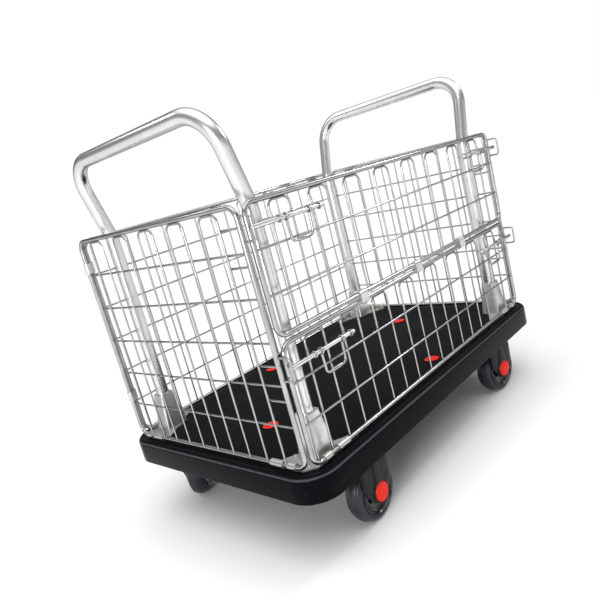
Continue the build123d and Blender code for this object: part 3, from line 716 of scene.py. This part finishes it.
def capped_bar(start, end, radius, ease, axis, sides=28):
    """A turned bar with a rounded edge at both ends."""
    length = np.linalg.norm(np.subtract(end, start))
    first = arc((radius - ease, ease), ease, 270, 360, 5)
    last = arc((radius - ease, length - ease), ease, 0, 90, 5)
    return turned(np.vstack([first, last]), start, axis, sides)


def wire_ring(centre, axis, mean_radius, thick_out, thick_along, sides=30):
    """A ring of oval section about an axis."""
    turn = np.linspace(0, 2 * pi, 14, endpoint=False)
    profile = np.stack([mean_radius + thick_out * np.cos(turn), thick_along * np.sin(turn)], 1)
    return turned(profile, centre, axis, sides, closed=True)


latch_plane = -side_plane - eye_reach
outer_eye = side_half - side_margin
eye_pitch = 2 * outer_eye / (side_wires - 1)
inner_eye = outer_eye - 2 * eye_pitch
for flap, height in latch_heights.items():
    rings = []
    for x in (-outer_eye, -inner_eye, inner_eye, outer_eye):
        centre = (x, latch_plane, height)
        mean = latch_radius + running + eye_wire
        rings.append(wire_ring(centre, (1, 0, 0), mean, eye_wire, eye_wire))
        stem = [(x, latch_plane + mean, height), (x, -side_plane, height)]
        rings.append(rod(stem, stem_wire, (1, 0, 0), 10))
        foot = [(x, -side_plane - foot_off, height + end * foot_half) for end in (-1, 1)]
        rings.append(rod(foot, stem_wire, (1, 0, 0), 10))
    name, body = f"{flap}_wire_eyes", f"{flap}_flap"
    piece(name, rings, body, wire_zinc, [f"{flap}_latch_eyes"])
    for side, sign in ends:
        node = f"latch_rod_{flap}_{side}"
        low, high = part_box(node)
        start, end = (low.x, latch_plane, height), (high.x, latch_plane, height)
        bar = capped_bar(start, end, latch_radius, latch_ease, (1, 0, 0))
        name, body = f"{flap}_{side}_latch_bar", f"latch_{flap}_{side}"
        piece(name, [bar], body, tube_zinc, [node])

keeper_wire, keeper_bend, keeper_half = 0.002, 0.006, 0.020
root, front = -end_half - sunk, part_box("latch_keepers")[0].y + keeper_wire
staple = [(root, keeper_half), (front, keeper_half), (front, -keeper_half), (root, -keeper_half)]
staples = []
for _, sign in ends:
    for height in latch_heights.values():
        corners = [(sign * end_plane, y, height + z) for y, z in staple]
        staples.append(rod(bent_line(corners, keeper_bend), keeper_wire, (1, 0, 0), 12))
piece("keeper_staples", staples, "root", wire_zinc, ["latch_keepers"])

# %% Bails
bail_wire, bail_taper, bail_bend, ring_wall = 0.0023, 0.002, 0.007, 0.0015
bail_grip, grip_ease, grip_inset = 0.0035, 0.0022, 0.014
for flap, height in latch_heights.items():
    for side, sign in ends:
        low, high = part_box(f"latch_bail_{flap}_{side}")
        near, far = sorted((abs(low.x), abs(high.x)))
        inner, outer = near + bail_wire, far - bail_wire
        bottom, top = low.z + bail_grip, height - latch_radius - running - ring_wall
        corners = [
            (sign * outer, latch_plane, top),
            (sign * (outer - bail_taper), latch_plane, bottom),
            (sign * (inner + bail_taper), latch_plane, bottom),
            (sign * inner, latch_plane, top),
        ]
        parts = [rod(bent_line(corners, bail_bend), bail_wire, (0, 1, 0), 16)]
        middle, reach = sign * (inner + outer) / 2, (outer - inner) / 2 - grip_inset
        start, end = (middle - reach, latch_plane, bottom), (middle + reach, latch_plane, bottom)
        parts.append(capped_bar(start, end, bail_grip, grip_ease, (1, 0, 0)))
        for x in (inner, outer):
            centre, mean = (sign * x, latch_plane, height), latch_radius + running + ring_wall
            parts.append(wire_ring(centre, (1, 0, 0), mean, ring_wall, bail_wire))
        name, body = f"{flap}_{side}_wire_bail", f"bail_{flap}_{side}"
        piece(name, parts, body, wire_zinc, [f"latch_bail_{flap}_{side}"])

# %% [markdown]
# ## Casters
# Each caster is a black moulded yoke, a dished wheel with a crowned tyre, and a red cap over each
# end of the axle. The wheel and the caps are turned profiles. Each leg of the yoke is two plates:
# a wide shield, and a raised strut down its middle. A plate's outline is the hull of a few
# circles, which gives straight edges between round corners, as a moulder shapes them.

# %% Yoke
wheel_radius, hub_radius = 0.060, 0.045
fork_half, fork_outer, lobe = 0.0202, 0.0245, 0.0245
shield_circles = np.array([
    (-0.036, 0.051, 0.008), (0.036, 0.051, 0.008),
    (-0.033, 0.016, 0.009), (0.033, 0.016, 0.009), (0.0, 0.0, lobe),
])
strut_circles = np.array([(-0.005, 0.058, 0.003), (0.005, 0.058, 0.003), (0.0, 0.022, 0.012)])


def hull_plate(circles, rings, axle, heading, across, sides=96):
    """A plate whose outline is the hull of circles in the plane of heading and up.

    In each direction u the outline point is the centre plus radius times u of the circle that
    reaches farthest along u. Each ring of (inset, depth) draws the circles in by the inset. What
    is left of an inset past the smallest radius, as a share of `shrink_length`, moves the centres
    toward the axle by that share.
    """
    shrink_length, least_radius = 0.06, 0.0004
    turn = np.linspace(0, 2 * pi, sides, endpoint=False)
    out = np.stack([np.cos(turn), np.sin(turn)], 1)
    loops = []
    for inset, depth in rings:
        radii = np.maximum(circles[:, 2] - inset, least_radius)
        centres = circles[:, :2] * (1 - max(inset - circles[:, 2].min(), 0) / shrink_length)
        chosen = (out @ centres.T + radii).argmax(1)
        flat = centres[chosen] + radii[chosen, None] * out
        loops.append(axle + flat[:, :1] * heading + flat[:, 1:] * (0, 0, 1) + across * depth)
    grid = np.array(loops)
    return shell(grid, start=grid[0].mean(0), end=grid[-1].mean(0))


def yoke_leg(axle, heading, across):
    """One leg: a wide shield over the side of the wheel, with a raised strut down its middle."""
    shield = [
        (0.0010, fork_half), (0, fork_half + 0.0008), (0, fork_outer - 0.0018),
        (0.0006, fork_outer - 0.0006), (0.0018, fork_outer), (0.0060, fork_outer + 0.0006),
        (0.0140, fork_outer + 0.0009),
    ]
    raised = [
        (-0.0030, fork_outer - 0.0010), (-0.0012, fork_outer + 0.0006), (0, fork_outer + 0.0026),
        (0.0012, fork_outer + 0.0034), (0.0026, fork_outer + 0.0036),
    ]
    return [
        hull_plate(shield_circles, shield, axle, heading, across),
        hull_plate(strut_circles, raised, axle, heading, across),
    ]


def yoke_parts(name):
    """Both legs, the dished crown, the roof over the wheel that joins the legs, and the ring
    that each cap sits in."""
    swivel = joints[f"caster_swivel_{name}"]["pos_m"]
    spin = joints[f"wheel_spin_{name}"]
    spot, axle = np.array([swivel[0], swivel[1], 0]), np.array(spin["pos_m"])
    across = np.array(spin["axis"]) / np.linalg.norm(spin["axis"])
    flat = (axle - spot) * (1, 1, 0)
    heading = flat / np.linalg.norm(flat)
    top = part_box(f"caster_yoke_{name}")[1].z
    parts = [*yoke_leg(axle, heading, across), *yoke_leg(axle, heading, -across)]
    crown = [
        (0.0063, -0.0065), (0.024, -0.0065), (0.0275, -0.0055), (0.029, -0.003),
        (0.0285, -0.0012), (0.026, -0.0002), (0.0063, 0),
    ]
    parts.append(turned(crown, spot + (0, 0, top), (0, 0, 1), 56, closed=True))
    bridge = [(0.0015, -0.0225), (0, -0.021), (0, 0.021), (0.0015, 0.0225)]
    roof = np.array([(-0.034, 0.0665, 0.0035), (0.034, 0.0665, 0.0035), (0.0, 0.0665, 0.0035)])
    parts.append(hull_plate(roof, bridge, axle, heading, across))
    for out in (-1, 1):
        cup = [
            (0.0195, -0.0015), (0.0236, -0.0005), (0.0240, 0.0010),
            (0.0228, 0.0030), (0.0206, 0.0036), (0.0195, 0.0028),
        ]
        parts.append(turned(cup, axle + across * out * fork_outer, across * out, 44, closed=True))
    return parts, axle, across


# %% Wheels, tyres and caps
def hub_profile(out):
    """One side of the dished hub: a boss, a deep hollow, and a raised ring before the lip."""
    side = [
        (0.0052, 0.0194), (0.0140, 0.0194), (0.0155, 0.0185), (0.0170, 0.0150), (0.0230, 0.0140),
        (0.0315, 0.0142), (0.0335, 0.0158), (0.0350, 0.0176), (0.0366, 0.0184), (0.0382, 0.0176),
        (0.0395, 0.0156), (0.0415, 0.0152), (0.0428, 0.0170), (0.0440, 0.0192),
        (hub_radius, 0.0195), (hub_radius, 0.0100),
    ]
    return np.array(side) * (1, out)


def tyre_profile():
    """A crowned tread between two rounded shoulders, with a shallow groove in each side wall."""
    flat, soft, crown_drop = 0.0090, 0.0086, 0.0024
    tread = np.linspace(-flat, flat, 15)
    crown = wheel_radius - crown_drop * (tread / flat) ** 2
    middle = wheel_radius - crown_drop - soft
    right = arc((middle, flat), soft, 8, 90, 10)
    left = right[::-1] * (1, -1)
    wall = [
        (0.0478, 0.0176), (0.0472, 0.0168), (0.0464, 0.0168), (0.0458, 0.0178), (0.0452, 0.0178),
    ]
    inner = [(radius, -height) for radius, height in wall[::-1]]
    return np.vstack([inner, left, np.stack([crown, tread], 1), right, wall])


def cap_profile():
    """A red cap: a rounded skirt and a dome with a ring groove and a small dimple.

    The dome is its height less a share of (r / radius) squared. The groove and the dimple are
    each a depth times e to the power of minus ((r - middle) / width) squared.
    """
    dome_radius, dome_height, dome_drop = 0.0150, 0.0080, 0.0018
    r = np.linspace(0.0006, dome_radius, 26)
    dome = dome_height - dome_drop * (r / dome_radius) ** 2
    groove, dimple = np.exp(-(((r - 0.0118) / 0.0009) ** 2)), np.exp(-((r / 0.0050) ** 2))
    dome -= 0.0008 * groove + 0.0014 * dimple
    skirt = arc((dome_radius, 0.0024), 0.0040, 88, 2, 9)
    return np.vstack([np.stack([r, dome], 1), skirt, [(0.0190, 0.0002), (0.0100, 0.0002)]])


whole_hub = np.vstack([hub_profile(1), hub_profile(-1)[::-1]])
for name in caster_names:
    caster, wheel = f"caster_{name}", f"wheel_{name}"
    parts, axle, across = yoke_parts(name)
    piece(f"{name}_yoke", parts, caster, yoke_black, [f"caster_yoke_{name}"])
    caps = [
        turned(cap_profile(), axle + across * out * fork_outer, across * out, 44) for out in (-1, 1)
    ]
    piece(f"{name}_caps", caps, caster, signal_red, [f"caster_caps_{name}"])
    hub = turned(whole_hub, axle, across, 64, closed=True)
    piece(f"{name}_hub", [hub], wheel, hub_grey, [f"wheel_hub_{name}"])
    tyre = turned(tyre_profile(), axle, across, 96, closed=True)
    piece(f"{name}_tyre", [tyre], wheel, rubber, [f"tyre_{name}"])

# %% [markdown]
# ## Parts kept from the frame
# Plates, shoes, clips, bolts and axles already have their true shape. They only need a finish,
# so each one's material is swapped and its mesh is left alone.

# %% Finishes for the kept nodes
kept = {"corner_plate": plate_zinc, "leg_shoe": plate_zinc, "caster_plate": plate_zinc,
        "corner_clips": plate_zinc, "flap_clips": plate_zinc, "plate_screws": fastener_steel,
        "caster_bolts": fastener_steel, "caster_axle": fastener_steel}
for name, node in nodes.items():
    for start, finish in kept.items():
        if name.startswith(start):
            node.data.materials.clear()
            node.data.materials.append(finish)
print("kept nodes", [name for name, node in nodes.items() if not node.hide_render])

# %% [markdown]
# ## Studio
# Bright metal only looks like metal when it has something to mirror. A pale floor and a surround
# that changes with height, from pale walls through a darker band to a bright ceiling, give each
# rod a bright line and a darker edge. The camera itself sees a plain white backdrop instead. A
# broad sun shines from overhead. Four square lamps stand round the cart and lean up, so mostly
# the low one lights it.

# %% Floor, surround and lights
def flat_sheet(name, size, height, finish):
    """A square sheet of four points."""
    mesh = bpy.data.meshes.new(name)
    corners = np.array([(-1, -1, 0), (1, -1, 0), (1, 1, 0), (-1, 1, 0)], float) * size
    mesh.from_pydata(corners + (0, 0, height), [], [(0, 1, 2, 3)])
    mesh.materials.append(finish)
    made = bpy.data.objects.new(name, mesh)
    bpy.context.scene.collection.objects.link(made)
    return made


floor_finish, floor_shader, _, _ = new_finish("pale_floor", (0.95, 0.95, 0.95))
floor_shader.inputs["Roughness"].default_value = 0.9
floor_shader.inputs["Specular IOR Level"].default_value = 0.0
floor = flat_sheet("floor", 60, 0.0, floor_finish)


def surround():
    """A studio round the cart: pale walls, a darker band above them and a bright ceiling, for
    light and reflections. Rays straight from the camera see plain white instead.

    The brightness follows the height of the direction, which runs from 0 at the floor line
    to 1 straight up, through a ramp of a few stops.
    """
    world = bpy.data.worlds.new("pale_surround")
    world.use_nodes = True
    tree = world.node_tree
    height = tree.nodes.new("ShaderNodeSeparateXYZ")
    tree.links.new(tree.nodes.new("ShaderNodeTexCoord").outputs["Generated"], height.inputs[0])
    ramp = tree.nodes.new("ShaderNodeValToRGB")
    stops = [(0.0, 0.75), (0.10, 0.60), (0.22, 0.30), (0.62, 0.35), (0.80, 1.5), (1.0, 1.8)]
    while len(ramp.color_ramp.elements) < len(stops):
        ramp.color_ramp.elements.new(0.5)
    for element, (place, grey) in zip(ramp.color_ramp.elements, stops):
        element.position, element.color = place, (grey, grey, grey, 1)
    tree.links.new(height.outputs[2], ramp.inputs[0])
    studio = tree.nodes["Background"]
    tree.links.new(ramp.outputs[0], studio.inputs[0])
    backdrop = tree.nodes.new("ShaderNodeBackground")
    backdrop.inputs[0].default_value = (1, 1, 1, 1)
    seen = tree.nodes.new("ShaderNodeMixShader")
    tree.links.new(tree.nodes.new("ShaderNodeLightPath").outputs["Is Camera Ray"], seen.inputs[0])
    tree.links.new(studio.outputs[0], seen.inputs[1])
    tree.links.new(backdrop.outputs[0], seen.inputs[2])
    tree.links.new(seen.outputs[0], tree.nodes["World Output"].inputs[0])
    return world


bpy.context.scene.world = surround()


def soft_light(name, place, toward, size, watts):
    """A square area light on the bearing of a point, leaning up from level by the angle at which
    the point lies below it. The share of its light that goes straight to the point is the cosine
    of twice that angle, and none past 45 degrees."""
    lamp = bpy.data.lights.new(name, "AREA")
    lamp.size, lamp.energy = size, watts
    made = bpy.data.objects.new(name, lamp)
    made.location = place
    x, y, z = np.subtract(toward, place)
    made.rotation_euler = (pi / 2 + np.arctan2(-z, np.hypot(x, y)), 0, np.arctan2(-x, y))
    bpy.context.scene.collection.objects.link(made)
    beam = -made.rotation_euler.to_matrix().col[2]
    share = max(np.dot(beam, (x, y, z)) / np.linalg.norm((x, y, z)), 0)
    print(f"{name}: {share:.2f} of its light goes straight to the point")


soft_light("key_light", (-1.6, -1.2, 2.4), (0, 0, 0.3), 1.4, 26)
overhead = bpy.data.lights.new("overhead", "SUN")
overhead.energy, overhead.angle = 0.40, radians(60)
overhead_light = bpy.data.objects.new("overhead", overhead)
overhead_light.rotation_euler = (radians(14), radians(-12), 0)
bpy.context.scene.collection.objects.link(overhead_light)
soft_light("low_light", (-2.3, -0.9, 0.85), (-0.1, -0.2, 0.08), 0.8, 26)
soft_light("shoulder_light", (2.1, -1.0, 2.1), (0, 0, 0.2), 0.30, 70)
soft_light("end_light", (-1.0, 1.9, 2.3), (0, 0, 0.2), 0.35, 32)

# %% [markdown]
# ## Camera
# A near three-quarter view from a little above the wire panels, rolled so that the cart leans.

# %% Camera
lens = bpy.data.cameras.new("three_quarter")
lens.lens, lens.sensor_width = 34.77, 36.0
camera = bpy.data.objects.new("three_quarter", lens)
camera.location = (-1.01427, -0.92686, 0.65738)
camera.rotation_euler = (radians(77.7336), radians(14.5418), radians(-47.8404))
bpy.context.scene.collection.objects.link(camera)
bpy.context.scene.camera = camera
bpy.context.scene.view_settings.view_transform = "Standard"
